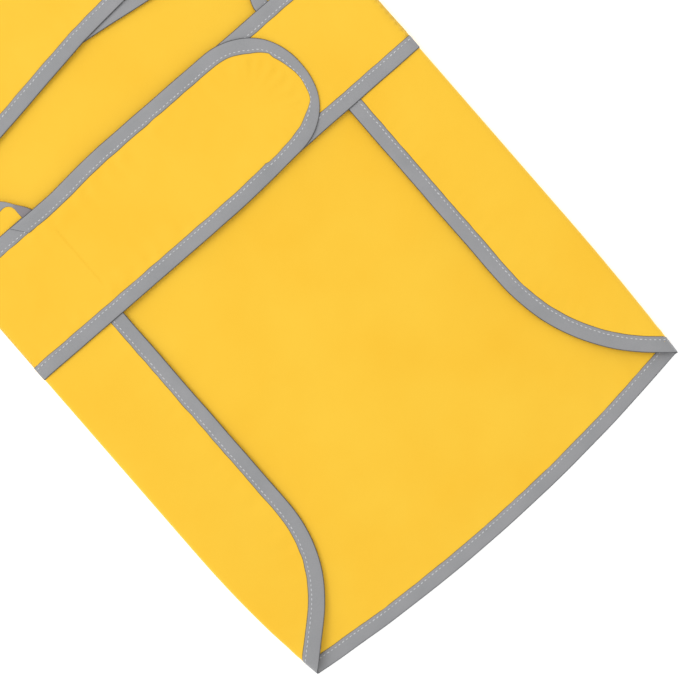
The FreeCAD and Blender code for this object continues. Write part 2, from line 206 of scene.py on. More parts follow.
# brushed loops: a dark felt with no gloss, its tufts drawn at 1.2 mm
loopLook = {"colour": "#232326", "other": "#3A3A3E", "grain": 1.2, "depth": 0.6, "roughness": 0.85, "ior": 1.53}
# satin: a smooth off-white with a faint shine
labelLook = {"colour": "#E9E8E2", "other": "#DAD9D2", "grain": 0.5, "depth": 0.1, "roughness": 0.4, "ior": 1.57}


def makePlainTextile(name, look):
    material, tree, shader = newMaterial(name)
    place = addNode(tree, "ShaderNodeTexCoord").outputs["Object"]
    fuzz = addNode(tree, "ShaderNodeTexNoise", {"Vector": place, "Scale": 1000 / look["grain"], "Detail": 4.0,
                                                "Roughness": 0.7})
    colour = addNode(tree, "ShaderNodeMix", {0: fuzz.outputs[0], 6: toLinear(look["colour"]),
                                             7: toLinear(look["other"])}, data_type="RGBA")
    bump = addNode(tree, "ShaderNodeBump", {"Height": fuzz.outputs[0], "Strength": 0.6,
                                            "Distance": look["depth"] * mm})
    tree.links.new(colour.outputs[2], shader.inputs["Base Color"])
    tree.links.new(bump.outputs[0], shader.inputs["Normal"])
    shader.inputs["Roughness"].default_value = look["roughness"]
    shader.inputs["IOR"].default_value = look["ior"]
    shader.inputs["Sheen Weight"].default_value = 0.3
    return material


yellowCloth = makeCoatedPolyester(clothLook)
greyTape = makeReflectiveTape(tapeLook)
greyThread = makePlainTextile("polyester_sewing_thread", threadLook)
hookNylon = makePlainTextile("nylon_hook_tape_moulded", hookLook)
loopNylon = makePlainTextile("nylon_loop_tape_brushed", loopLook)
labelSatin = makePlainTextile("polyester_satin_label", labelLook)
print("materials made")


def smooth(x):
    x = np.clip(x, 0, 1)
    return x * x * (3 - 2 * x)


def waves(x, y, size, seed, count=7):  # a smooth unevenness from a few plane waves of about the given length
    random = np.random.default_rng(seed)
    total = 0
    for _ in range(count):
        turn, phase = random.uniform(0, 2 * math.pi), random.uniform(0, 2 * math.pi)
        length = size * random.uniform(0.7, 1.6)
        total = total + np.sin((x * math.cos(turn) + y * math.sin(turn)) * 2 * math.pi / length + phase)
    return total / math.sqrt(count)


def evenly(points, step, closed=False):
    points = np.array(points, float)
    if closed:
        points = np.vstack([points, points[:1]])
    runs = np.linalg.norm(np.diff(points, axis=0), axis=1)
    along = np.concatenate([[0], np.cumsum(runs)])
    count = max(2, int(round(along[-1] / step)) + 1)
    wanted = np.linspace(0, along[-1], count)
    made = np.stack([np.interp(wanted, along, points[:, k]) for k in range(points.shape[1])], 1)
    return made[:-1] if closed else made


def denseLine(points, step):
    made = []
    for a, b in zip(points[:-1], points[1:]):
        a, b = np.array(a, float), np.array(b, float)
        count = max(1, int(math.ceil(np.linalg.norm(b - a) / step)))
        made += [a + (b - a) * k / count for k in range(count)]
    return made + [np.array(points[-1], float)]


def closerAtFold(path, closed=False, reach=7.0, parts=4):  # closer points where a flat line crosses its fold
    loop = np.vstack([path, path[:1]]) if closed else path
    made = []
    for a, b in zip(loop[:-1], loop[1:]):
        count = parts if min(abs(a[0]), abs(b[0])) < reach else 1
        made += [a + (b - a) * k / count for k in range(count)]
    return np.array(made if closed else made + [loop[-1]])


def foldPoints(outline, reach=5.4, across=0.9, along=3.0):
    low, high = np.min(outline, axis=0)[1], np.max(outline, axis=0)[1]
    return np.array([(t, v) for t in np.arange(-reach, reach + 0.1, across) for v in np.arange(low, high, along)])


def arc(centre, radius, start, end, count=24):
    angles = np.radians(np.linspace(start, end, count))
    return [(centre[0] + radius * math.cos(a), centre[1] + radius * math.sin(a)) for a in angles]


hemShape = {"corner": -262.0, "rise": 0.3, "slope": 0.0135, "tapeWidth": 9.6, "tapeHalf": 0.5, "raised": 0.34}
hemCorner = np.array([hemShape["corner"]])
hemBow = (halfWidth ** 2 + (hemShape["corner"] - hemY) ** 2) / (2 * (hemShape["corner"] - hemY))


def hemAt(x):  # the hem is a shallow arc that lies a little askew
    x = np.asarray(x, float)
    return hemY + x ** 2 / (2 * hemBow) + hemShape["rise"] + hemShape["slope"] * x


def makeFold(side, jointName, tuck):
    joint = joints[jointName]
    origin = np.array(joint["pos_m"][:2]) / mm
    axis = np.array(joint["axis"][:2])
    along = axis * (1 if axis[1] > 0 else -1)
    inward = np.array([along[1], -along[0]]) * -side
    return {"origin": origin, "along": along, "inward": inward, "hand": -side, "tuck": tuck}


# the side folds draw in towards the tail corners
sideTucks = {-1: {"depth": 8.4, "start": -150.0, "length": 114.0, "power": 2.3},
             1: {"depth": 3.3, "start": -150.0, "length": 111.0, "power": 2.0}}


def sideTuck(side):
    s = sideTucks[side]
    return lambda v: s["depth"] * np.clip((s["start"] - v) / s["length"], 0, 1.05) ** s["power"]


leftFold = makeFold(-1, "left_side_fold", sideTuck(-1))
rightFold = makeFold(1, "right_side_fold", sideTuck(1))
leftChestFold = makeFold(-1, "left_chest_fold", lambda v: 0 * v)
rightChestFold = makeFold(1, "right_chest_fold", lambda v: 0 * v)


# A folded cloth is drawn flat, with t across the fold from its outermost line and v along it. The layer above has
# positive t and the layer below negative t. toFlat goes from the laid coat's plan to the flat cloth.
def toFlat(fold, points, layer=1):
    points = np.asarray(points, float) - fold["origin"]
    v = points @ fold["along"]
    d = points @ fold["inward"]
    share = 1 if layer > 0 else np.clip(1 - d / cloth["seamInset"], 0, 1)  # the lower layer's tuck ends at the seam
    d = d - fold["tuck"](v) * share
    bend = np.arccos(np.clip((foldRadius - d) / midRadius, 0, 1)) * midRadius
    t = np.where(d >= foldRadius, d - foldRadius + quarter, bend)
    return np.stack([t * layer, v], 1)


# liftFold gives the function that bends a flat cloth round its fold, raised so much above the cloth below it
hemStep = {"high": 0.38, "wide": 14.0, "ramp": 10.0}  # near the hem the cloth rests on the tape's lower half


def liftFold(fold, raised, height):
    def lift(points):
        t, v = points[:, 0], points[:, 1]
        r = midRadius + raised
        angle = np.clip(t / midRadius, -math.pi / 2, math.pi / 2)
        past = np.maximum(np.abs(t) - quarter, 0)
        d = foldRadius - r * np.cos(angle) + past
        tuck = fold["tuck"](v)
        d = d + tuck * np.where(t > 0, 1, np.clip(1 - d / cloth["seamInset"], 0, 1))
        z = foldRadius + r * np.sin(angle)
        plan = fold["origin"] + np.outer(v, fold["along"]) + d[:, None] * fold["inward"]
        near = smooth((t - quarter * 0.4) / 8)
        z = z + near * height(plan[:, 0], plan[:, 1], d)
        nearHem = smooth((hemAt(plan[:, 0]) + hemStep["wide"] - plan[:, 1]) / hemStep["ramp"])
        low = smooth((-t - quarter * 0.6) / 3) * nearHem * hemStep["high"]
        return np.column_stack([plan, z + low])
    lift.hand = fold["hand"]
    return lift


def liftFlat(height):
    def lift(points):
        return np.column_stack([points, height(points[:, 0], points[:, 1], None)])
    lift.hand = 1
    return lift


def normals(lift, points, small=0.05):  # the way the outer face looks, from differences over a small distance
    across = lift(points + [small, 0]) - lift(points - [small, 0])
    along = lift(points + [0, small]) - lift(points - [0, small])
    n = np.cross(across, along) * lift.hand
    return n / np.linalg.norm(n, axis=1)[:, None]


def makeObject(name, points, faces, material, uv=None):
    mesh = bpy.data.meshes.new(name)
    mesh.from_pydata([tuple(p * mm) for p in points], [], faces)
    mesh.materials.append(material)
    for polygon in mesh.polygons:
        polygon.use_smooth = True
    if uv is not None:
        layer = mesh.uv_layers.new(name="tapeUV")
        index = np.zeros(len(mesh.loops), int)
        mesh.loops.foreach_get("vertex_index", index)
        layer.data.foreach_set("uv", np.asarray(uv, np.float32)[index].ravel())
    made = bpy.data.objects.new(name, mesh)
    bpy.context.scene.collection.objects.link(made)
    return made


def insideOf(points, outline):  # which points lie inside an outline, by counting crossings
    inside = np.zeros(len(points), bool)
    x, y = points[:, 0], points[:, 1]
    for (x0, y0), (x1, y1) in zip(outline, np.roll(outline, -1, axis=0)):
        crosses = (y0 > y) != (y1 > y)
        with np.errstate(divide="ignore", invalid="ignore"):
            inside ^= crosses & (x < (x1 - x0) * (y - y0) / (y1 - y0) + x0)
    return inside


def distanceTo(points, line, closed=True):  # how far each point is from a line, and how far along the line
    line = np.asarray(line, float)
    ends = np.roll(line, -1, axis=0) if closed else line[1:]
    starts = line if closed else line[:-1]
    best = np.full(len(points), 1e9)
    where = np.zeros(len(points))
    run = 0.0
    for a, b in zip(starts, ends):
        ab = b - a
        long = max(np.linalg.norm(ab), 1e-9)
        k = np.clip((points - a) @ ab / long ** 2, 0, 1)
        gap = np.linalg.norm(points - a - k[:, None] * ab, axis=1)
        nearer = gap < best
        best = np.where(nearer, gap, best)
        where = np.where(nearer, run + k * long, where)
        run += long
    return best, where


def polygonArea(outline):
    x, y = np.asarray(outline).T
    return abs(np.sum(x * np.roll(y, -1) - np.roll(x, -1) * y)) / 2


# ripples that the sewing draws into the cloth beside its tape: length and height of each of two waves
pucker = {"short": (9.0, 0.26), "long": (23.0, 0.24), "fade": 8.0, "from": 3.0, "ramp": 4.0}


# A cloth is cut flat, filled with triangles, bent by its lift and given its thickness. bound is the line that a
# tape binds, extra are closer points where a narrow crease runs, and folded asks for closer points at the fold.
def clothPiece(name, outline, lift, material=None, step=None, holes=(), thick=None, bound=None, extra=None,
               folded=False):
    step = step or cloth["step"]
    outline = evenly(outline, step, closed=True)
    if folded:
        outline = closerAtFold(outline, closed=True)
        extra = foldPoints(outline)
    loops = [outline] + [evenly(h, min(step, 2.0), closed=True) for h in holes]
    low, high = outline.min(0), outline.max(0)
    columns = np.arange(low[0] + step / 2, high[0], step)
    rows = np.arange(low[1] + step / 2, high[1], step * 0.866)
    grid = np.array([(x + (step / 2 if k % 2 else 0), y) for k, y in enumerate(rows) for x in columns])
    keep = insideOf(grid, outline) & (distanceTo(grid, outline)[0] > step * 0.5)
    for hole in loops[1:]:
        keep &= ~insideOf(grid, hole) & (distanceTo(grid, hole)[0] > step * 0.4)
    corners, edges = [], []
    for loop in loops:
        first = len(corners)
        corners += [Vector(p) for p in loop]
        edges += [(first + k, first + (k + 1) % len(loop)) for k in range(len(loop))]
    if extra is not None:
        extra = extra[insideOf(extra, outline) & (distanceTo(extra, outline)[0] > 0.7)]
        keep &= np.min(np.linalg.norm(grid[:, None] - extra[None], axis=2), axis=1) > step * 0.6
        corners += [Vector(p) for p in extra]
    corners += [Vector(p) for p in grid[keep]]
    made = delaunay_2d_cdt(corners, edges, [], 1, 1e-5)
    flat = np.array([tuple(p) for p in made[0]])
    faces = [tuple(f) for f in made[2]]
    if holes:
        centres = np.array([flat[list(f)].mean(0) for f in faces])
        blocked = np.zeros(len(faces), bool)
        for hole in loops[1:]:
            blocked |= insideOf(centres, hole)
        faces = [f for f, b in zip(faces, blocked) if not b]
    a, b, c = (flat[[f[k] for f in faces]] for k in range(3))
    turn = (b - a)[:, 0] * (c - a)[:, 1] - (b - a)[:, 1] * (c - a)[:, 0]
    faces = [f if s * lift.hand > 0 else f[::-1] for f, s in zip(faces, turn)]
    solid = lift(flat)
    if bound is not None:
        gap, where = distanceTo(flat, bound, closed=False)
        ripple = 0
        for k, (length, tall) in enumerate((pucker["short"], pucker["long"])):
            ripple = ripple + waves(where, where * 0, length, len(name) + k) * tall
        past = gap - tape["width"]
        fade = np.exp(-np.maximum(past - pucker["from"], 0) / pucker["fade"]) * smooth((past - 1) / pucker["ramp"])
        solid = solid + normals(lift, flat) * (ripple * fade)[:, None]
    half = normals(lift, flat) * (thick or cloth["thick"]) / 2
    count = len(flat)
    sides = {(f[k], f[(k + 1) % 3]) for f in faces for k in range(3)}
    rim = [(b, a, a + count, b + count) for a, b in sides if (b, a) not in sides]
    both = faces + [tuple(v + count for v in f[::-1]) for f in faces] + rim
    made = makeObject(name, np.vstack([solid + half, solid - half]), both, material or yellowCloth)
    made.data.polygons.foreach_set("use_smooth", [True] * (2 * len(faces)) + [False] * len(rim))
    made["flatArea"] = polygonArea(outline)
    made["flatSize"] = [float(v) for v in (high - low)]
    return made


# the folded tape's outside in section: the share of its width from the cloth's edge, and of its half height
tapeOuter = [(1.0, 0.6), (0.97, 1.0), (0.80, 0.97), (0.55, 1.03), (0.3, 1.0), (0.07, 1.0), (-0.012, 0.75),
             (-0.04, 0.0), (-0.012, -0.75), (0.07, -1.0), (0.3, -1.0), (0.55, -1.03), (0.80, -0.97), (0.97, -1.0),
             (1.0, -0.6)]
tapeEnd = {"lift": 9.0, "slant": 16.0}  # how far back from a slanted, raised end its lift and its slant begin
stitchLine = {"wide": 2.2, "narrow": 0.6}  # the stitches' distance from the tape's inner edge


# A tape is a folded strip that follows a line on the flat cloth, with a row of stitches on each face. width may be a
# function of the path, cut slants the last end, endLift raises it and paints a shadow line across it, shade gives
# where the tape gets painted shade, foldEnds mitres the tape where it passes a fold.
def tapePiece(name, edge, lift, closed=False, inwardSide=1, width=None, half=None, seed=1, cut=0.0, endLift=0.0,
              foldEnds=False, shade=None):
    half = half or tape["half"]
    path = evenly(edge, tape["step"], closed=closed)
    if foldEnds:
        path = closerAtFold(path)
    if closed:
        run = np.roll(path, -1, axis=0) - np.roll(path, 1, axis=0)
    else:
        run = np.gradient(path, axis=0)
    run /= np.linalg.norm(run, axis=1)[:, None]
    if not closed:  # one more section close to each end
        path = np.vstack([path[:1], path[:1] + run[:1] * 0.4, path[1:-1], path[-1:] - run[-1:] * 0.4, path[-1:]])
        run = np.vstack([run[:1], run, run[-1:]])
    inward = np.column_stack([-run[:, 1], run[:, 0]]) * inwardSide
    steps = np.linalg.norm(np.diff(path, axis=0), axis=1)
    along = np.concatenate([[0], np.cumsum(steps)])
    toEnd = along[-1] - along
    raised = endLift * smooth(1 - toEnd / tapeEnd["lift"])
    wobble = waves(along, along * 0, 34.0, seed) * tape["wobble"]
    wide = width(path) if callable(width) else np.full(len(path), width or tape["width"])
    lips = wide + waves(along, along * 0, 15.0, seed + 5) * tape["lip"]
    flutter = waves(along, along * 0, 11.0, seed + 7) * tape["pucker"]

    def place(reach):
        at = path + inward * reach[:, None]
        if foldEnds:
            layer = np.where(path[:, 0] >= -0.01, 1, -1)
            short = np.minimum(at[:, 0] * layer, 0) * layer
            way = np.where(np.abs(run[:, 0]) < 0.2, np.copysign(0.2, run[:, 0]), run[:, 0])
            at = at - run * (short / way)[:, None]
        return at

    inner = half - tape["skin"]
    ring = [(i * 1.0, h * half) for i, h in tapeOuter]
    ring += [(0.98, -inner), (0.5, -inner), (0.08, -inner), (0.03, 0.0), (0.08, inner), (0.5, inner), (0.98, inner)]
    rows, uvs = [], []
    for k, (i, h) in enumerate(ring):
        slanted = cut * i * lips * np.clip(1 - toEnd / tapeEnd["slant"], 0, 1)
        at = place(i * lips + wobble) - run * slanted[:, None]
        out = h + raised + flutter * max(0.0, i) * (1 if h > 0 else 0.4)
        rows.append(lift(at) + normals(lift, at) * out[:, None])
        uvs.append(np.column_stack([along * mm, np.full(len(path), min(max(i, 0), 1))]))
    count, size = len(path), len(ring)
    points = np.stack(rows, 1).reshape(-1, 3)
    uv = np.stack(uvs, 1).reshape(-1, 2)
    faces = []
    for a in range(count if closed else count - 1):
        b = (a + 1) % count
        for k in range(size):
            n = (k + 1) % size
            faces.append((a * size + k, a * size + n, b * size + n, b * size + k))
    if not closed:
        faces += [tuple(range(size)), tuple(range((count - 1) * size, count * size))[::-1]]
    if lift.hand * inwardSide > 0:
        faces = [f[::-1] for f in faces]
    made = makeObject(name, points, faces, greyTape, uv)
    # a raised end gets a painted shadow line across its last section
    ends = np.zeros(count)
    if endLift:
        ends[-1] = 1
    for label, values in (("shade", shade(path) if shade else np.zeros(count)), ("endShadowLine", ends)):
        attribute = made.data.attributes.new(label, "FLOAT", "POINT")
        attribute.data.foreach_set("value", np.repeat(values, size).astype(np.float32))
    if foldEnds:  # merge what the mitre brought together
        mesh = bmesh.new()
        mesh.from_mesh(made.data)
        bmesh.ops.remove_doubles(mesh, verts=mesh.verts, dist=2e-6)
        bmesh.ops.dissolve_degenerate(mesh, edges=mesh.edges, dist=1e-6)
        mesh.to_mesh(made.data)
        mesh.free()
    seams = []
    for face in (1, -1):
        inset = stitchLine["narrow"] + (stitchLine["wide"] - stitchLine["narrow"]) * smooth((wide - 6) / 3.5)
        at = place(lips - inset + wobble)
        up = normals(lift, at) * face
        line = lift(at) + up * (half + 0.02) + normals(lift, at) * raised[:, None]
        if foldEnds:  # no stitches where the tape turns round the fold
            keep = at[:, 0] > 1.5
            line, up = line[keep], up[keep]
        seams.append((line, up, closed))
    return made, seams


# stitches, laid along the seams by one node tree
stitchSettings = {"pitch": 3.0, "length": 2.1, "width": 0.70, "height": 0.38, "slant": 9.0, "least": 0.78,
                  "most": 1.1, "seed": 4}


def makeStitchTree():
    tree = bpy.data.node_groups.new("seamStitches", "GeometryNodeTree")
    face = tree.interface
    face.new_socket("Seam", in_out="INPUT", socket_type="NodeSocketGeometry")
    sizes = (("Pitch", stitchSettings["pitch"] * mm), ("Stitch length", stitchSettings["length"] * mm),
             ("Thread width", stitchSettings["width"] * mm), ("Thread height", stitchSettings["height"] * mm),
             ("Slant in degrees", stitchSettings["slant"]), ("Least size", stitchSettings["least"]),
             ("Most size", stitchSettings["most"]))
    for label, value in sizes:
        face.new_socket(label, in_out="INPUT", socket_type="NodeSocketFloat").default_value = value
    face.new_socket("Seed", in_out="INPUT", socket_type="NodeSocketInt").default_value = stitchSettings["seed"]
    face.new_socket("Thread", in_out="INPUT", socket_type="NodeSocketMaterial")
    face.new_socket("Stitches", in_out="OUTPUT", socket_type="NodeSocketGeometry")
    given = addNode(tree, "NodeGroupInput").outputs
    up = addNode(tree, "GeometryNodeInputNamedAttribute", {"Name": "up"}, data_type="FLOAT_VECTOR").outputs[0]
    line = addNode(tree, "GeometryNodeMeshToCurve", {"Mesh": given["Seam"]})
    spaced = addNode(tree, "GeometryNodeResampleCurve", {"Curve": line.outputs[0], "Length": given["Pitch"]},
                     mode="LENGTH")
    tangent = addNode(tree, "GeometryNodeInputTangent")
    facing = addNode(tree, "FunctionNodeAlignRotationToVector", {"Vector": tangent.outputs[0]}, axis="X")
    level = addNode(tree, "FunctionNodeAlignRotationToVector", {"Rotation": facing.outputs[0], "Vector": up},
                    axis="Z", pivot_axis="X")
    limit = addNode(tree, "ShaderNodeMath", {0: given["Slant in degrees"], 1: math.pi / 180}, operation="MULTIPLY")
    least = addNode(tree, "ShaderNodeMath", {0: limit.outputs[0], 1: -1.0}, operation="MULTIPLY")
    slant = addNode(tree, "FunctionNodeRandomValue", {2: least.outputs[0], 3: limit.outputs[0],
                                                      "Seed": given["Seed"]})
    turn = addNode(tree, "ShaderNodeCombineXYZ", {2: slant.outputs[1]})
    turned = addNode(tree, "FunctionNodeRotateRotation", {"Rotation": level.outputs[0], "Rotate By": turn.outputs[0]},
                     rotation_space="LOCAL")
    bead = addNode(tree, "GeometryNodeMeshUVSphere", {"Segments": 6, "Rings": 4, "Radius": 0.5})
    size = addNode(tree, "ShaderNodeCombineXYZ", {0: given["Stitch length"], 1: given["Thread width"],
                                                  2: given["Thread height"]})
    uneven = addNode(tree, "FunctionNodeRandomValue", {2: given["Least size"], 3: given["Most size"],
                                                       "Seed": given["Seed"]})
    size = addNode(tree, "ShaderNodeVectorMath", {0: size.outputs[0], "Scale": uneven.outputs[1]}, operation="SCALE")
    placed = addNode(tree, "GeometryNodeInstanceOnPoints", {"Points": spaced.outputs[0], "Instance": bead.outputs[0],
                                                            "Rotation": turned.outputs[0], "Scale": size.outputs[0]})
    real = addNode(tree, "GeometryNodeRealizeInstances", {0: placed.outputs[0]})
    painted = addNode(tree, "GeometryNodeSetMaterial", {"Geometry": real.outputs[0], "Material": given["Thread"]})
    addNode(tree, "NodeGroupOutput", {0: painted.outputs[0]})
    return tree


stitchTree = makeStitchTree()


def makeStitches(name, seams, thread):
    points, edges, ups = [], [], []
    for line, up, closed in seams:
        first = len(points)
        points += [tuple(p * mm) for p in line]
        ups += [tuple(u) for u in up]
        edges += [(first + k, first + k + 1) for k in range(len(line) - 1)]
        if closed:
            edges.append((first + len(line) - 1, first))
    mesh = bpy.data.meshes.new(name + "Line")
    mesh.from_pydata(points, edges, [])
    outward = mesh.attributes.new("up", "FLOAT_VECTOR", "POINT")
    outward.data.foreach_set("vector", np.array(ups, np.float32).ravel())
    line = bpy.data.objects.new(name + "Line", mesh)
    bpy.context.scene.collection.objects.link(line)
    modifier = line.modifiers.new("Stitches", "NODES")
    modifier.node_group = stitchTree
    sockets = {s.name: s.identifier for s in stitchTree.interface.items_tree if s.in_out == "INPUT"}
    modifier[sockets["Thread"]] = thread
    modifier[sockets["Seed"]] = stitchSettings["seed"] + len(name)
    graph = bpy.context.evaluated_depsgraph_get()
    graph.update()
    mesh = bpy.data.meshes.new_from_object(line.evaluated_get(graph))
    mesh.name = name
    bpy.data.objects.remove(line)
    made = bpy.data.objects.new(name, mesh)
    bpy.context.scene.collection.objects.link(made)
    for polygon in mesh.polygons:
        polygon.use_smooth = True
    return made


# bendOver and peelOver only bake each piece's placement into its mesh and bend nothing. The settings below, for a
# fold's turn between two heights, its inward lean and the strap's and flap's turn past their roots, are not used for
# that.
bending = {"lean": 0.1, "from": 1.5, "to": 6.0, "peel": 15.0}


def bendOver(piece, fold):
    origin = np.array([*fold["origin"], 0.0])
    way = np.array([*(fold["inward"] * bending["lean"]), 1.0])
    way /= np.linalg.norm(way)
    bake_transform(piece)


def peelOver(piece):
    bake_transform(piece)


def standsFor(piece, slotName, *nodes):
    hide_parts(*nodes)


# heights of the layers, in millimetres above the table
topMid = foldRadius + midRadius


sag = {"deep": 4.0, "from": 3.0, "over": 52.0}  # how the side panels settle between their folds and their edges


def sideDrop(x, y, d):  # d is the distance in from the fold
    sunk = sag["deep"] * smooth((np.asarray(d) - sag["from"]) / sag["over"])
    still = smooth((d - 6) / 18)
    return -sunk + still * (0.16 * waves(x, y, 62, 11) + 0.07 * waves(x, y, 24, 12))


def bellyLine(x, xs, zs):  # a smooth line through the heights zs at xs
    xs, zs = np.array(xs, float), np.array(zs, float)
    slopes = np.gradient(zs, xs)
    k = np.clip(np.searchsorted(xs, x) - 1, 0, len(xs) - 2)
    h = xs[k + 1] - xs[k]
    t = np.clip((x - xs[k]) / h, 0, 1)
    return ((2 * t ** 3 - 3 * t ** 2 + 1) * zs[k] + (t ** 3 - 2 * t ** 2 + t) * h * slopes[k]
            + (-2 * t ** 3 + 3 * t ** 2) * zs[k + 1] + (t ** 3 - t ** 2) * h * slopes[k + 1])


flapLine = {"x": [5, 40, 70, 97, 108, 116, 130, 140, 150, 157],
            "z": [3.2, 3.3, 3.7, 4.4, 4.6, 4.9, 6.0, 7.1, 7.85, 8.0]}
strapLine = {"x": [-157, -150, -140, -130, -116, -104, -94, -60, -20, 20, 60, 84, 97],
             "z": [8.0, 7.85, 7.1, 6.0, 4.9, 4.65, 4.5, 4.3, 4.5, 4.75, 5.05, 5.3, 5.5]}
# a faint line pressed across the strap by what lies under it
pressLine = {"x": -92.0, "y": (14.0, 60.0), "high": -0.5, "sharp": 1.3, "fade": 9.0, "level": (-25.0, 60.0)}


def strapHeight(x, y, d=None):
    z = bellyLine(x, strapLine["x"], strapLine["z"])
    p = pressLine
    pressed = smooth((x - p["x"]) / p["sharp"] + 0.5) * smooth((y - p["y"][0]) / p["fade"] + 0.5)
    pressed = pressed * smooth((p["y"][1] - y) / p["fade"] + 0.5) * smooth((p["level"][0] - x) / p["level"][1])
    return z + p["high"] * pressed + 0.10 * waves(x, y, 55, 21) + 0.05 * waves(x, y, 21, 22)


def flapHeight(x, y, d=None):
    return bellyLine(x, flapLine["x"], flapLine["z"]) + 0.06 * waves(x, y, 48, 31)


slotShape = {"width": 6.0, "length": 38.0, "y": 174.0}  # the leash opening


def backHeight(x, y, d=None):  # the back lies level at its edges and round the leash opening
    inner = smooth((130 - np.abs(x)) / 40) * smooth((y - hemAt(x) - 12) / 40) * smooth((200 - y) / 60)
    calm = 1 - np.exp(-((y - slotShape["y"]) ** 2 / 2600 + x ** 2 / 1200))
    wave = np.maximum(0.30 * waves(x, y, 88, 41) + 0.12 * waves(x, y, 34, 42) + 0.4, 0)
    raised = hemShape["raised"] * smooth((hemAt(x) + hemStep["wide"] - y) / hemStep["ramp"])
    return backMid + raised + inner * calm * wave


def hemHeight(x, y, d=None):  # the hem's tape starts to turn up where the side folds begin
    side = np.where(x < 0, leftFold["tuck"](y), rightFold["tuck"](y))
    depth = np.clip(halfWidth - np.abs(x) - side, 0.6, foldRadius)
    turn = foldRadius - np.sqrt(np.maximum(midRadius ** 2 - (foldRadius - depth) ** 2, 0)) - backMid
    return backHeight(x, y) + turn


# each side's edge: straight at x, then bending out to the tail corner, and round the leg opening by the leg points
sideShapes = {
    -1: {"x": 94.5, "bendY": -170.0, "radius": 95.0, "turn": 47.5, "hemOverlap": 2.6,
         "leg": [(94.5, 60), (94.6, 74), (95.2, 79.5), (97.1, 83.5), (99.3, 86.5), (102.2, 90.3), (104.2, 94.2),
                 (106.9, 97.2), (111.0, 99.4), (120.0, 101.2)]},
    1: {"x": 100.5, "bendY": -152.0, "radius": 130.0, "turn": 48.0, "hemOverlap": 2.6,
        "leg": [(100.5, 30), (99.0, 55), (96.9, 78), (96.6, 82.5), (97.6, 87), (100.0, 91.5), (104.0, 95.5),
                (109.0, 98.2), (116.0, 100.2)]},
}
sideSeamEnd = 111.6  # the head end of the side seams
# the tape round the left leg opening is twisted, so it narrows there, and its twisted stretch, between the y of back,
# gets painted shade
legTwist = {"y": [70, 80, 84, 86.5, 89.5, 91.5, 94.3, 97.2, 99.5, 101.5],
            "width": [10, 9.8, 6.8, 5.0, 2.2, 2.0, 3.3, 6.2, 8.4, 10], "back": (76.0, 91.0), "lastStitch": 79.0}


def sideEdge(side, fold):
    s = sideShapes[side]
    turn = math.radians(s["turn"])
    bend = [(s["x"] + s["radius"] * (1 - math.cos(a)), s["bendY"] - s["radius"] * math.sin(a))
            for a in np.linspace(turn, 0, 30)]
    cornerX = halfWidth - fold["tuck"](hemCorner)[0]
    last = (cornerX, bend[0][1] - (cornerX - bend[0][0]) / math.tan(turn))
    line = [last] + bend + s["leg"] + [(halfWidth, legEndY)]
    return np.array([(x * side, y) for x, y in line])


def roundOff(points, times=4):
    points = np.array(points, float)
    for _ in range(times):
        points[1:-1] = points[1:-1] * 0.5 + (points[:-2] + points[2:]) * 0.25
    return points


def sidePieces(side, fold, word):
    edge = roundOff(evenly(sideEdge(side, fold), 1.5))
    top = toFlat(fold, edge, 1)
    top[0, 0] = top[-1, 0] = 0.0
    seamX = (halfWidth - cloth["seamInset"]) * side
    apex = abs(edge[0][0])
    hem = toFlat(fold, [(x * side, hemAt(x)) for x in np.linspace(abs(seamX), apex, 6)], -1)
    hem[-1] = (0.0, top[0, 1])
    seam = toFlat(fold, [(seamX, y) for y in (sideSeamEnd, hemAt(seamX))], -1)
    outline = [tuple(p) for p in np.vstack([seam, hem[1:], top[1:]])]
    lift = liftFold(fold, 0.0, sideDrop)
    panel = clothPiece(word + "SideCloth", outline, lift, step=2.6, bound=top, folded=True)
    width, shade = None, None
    if side < 0:
        width = lambda path: np.interp(path[:, 1], legTwist["y"], legTwist["width"])
        # the twisted stretch between these heights along y gets painted shade
        first, last = legTwist["back"]
        shade = lambda path: smooth((path[:, 1] - first) / 1.5) * smooth((last - path[:, 1]) / 1.5)
    tailX = (apex - sideShapes[side]["hemOverlap"]) * side
    bindLine = np.vstack([toFlat(fold, [(tailX, hemAt(tailX))], -1), top, [(seam[0][0] * 0.9, 111.4)]])
    binding, seams = tapePiece(word + "SideTape", bindLine, lift, inwardSide=1, seed=30 + side, foldEnds=True,
                               width=width, shade=shade)
    if side < 0:
        kept = [line[:, 1] < legTwist["lastStitch"] for line, _, _ in seams]
        seams = [(line[keep], up[keep], False) for (line, up, _), keep in zip(seams, kept)]
    stitches = makeStitches(word + "SideStitches", seams, greyThread)
    for piece in (panel, binding, stitches):
        bendOver(piece, fold)
    standsFor(panel, "coated_cloth", word + "_side_panel")
    standsFor(binding, "reflective_tape", word + "_side_binding")


def roundedSlot(width, length, y, corner):
    w, h = width / 2 - corner, length / 2 - corner
    return (arc((w, y + h), corner, 0, 90, 5) + arc((-w, y + h), corner, 90, 180, 5)
            + arc((-w, y - h), corner, 180, 270, 5) + arc((w, y - h), corner, 270, 360, 5))


neck = {"y": 235.0, "dip": 7.0, "throat": (8.0, 206.0), "end": 250.0, "seamOffset": 2.2}


def chestFoldX(y):
    fold = rightChestFold
    return fold["origin"][0] + (y - fold["origin"][1]) * fold["along"][0] / fold["along"][1]


def neckLine(xs):
    reach = chestFoldX(neck["y"])
    return [(x, neck["y"] - neck["dip"] * (1 - (x / reach) ** 2)) for x in xs]


def chestSeam(side, y):  # where the chest flap is sewn to the back, beside its fold
    fold = rightChestFold
    base = fold["origin"] + fold["inward"] * cloth["seamInset"]
    v = (y - base[1]) / fold["along"][1]
    point = base + fold["along"] * v
    return (point[0] * side, point[1])


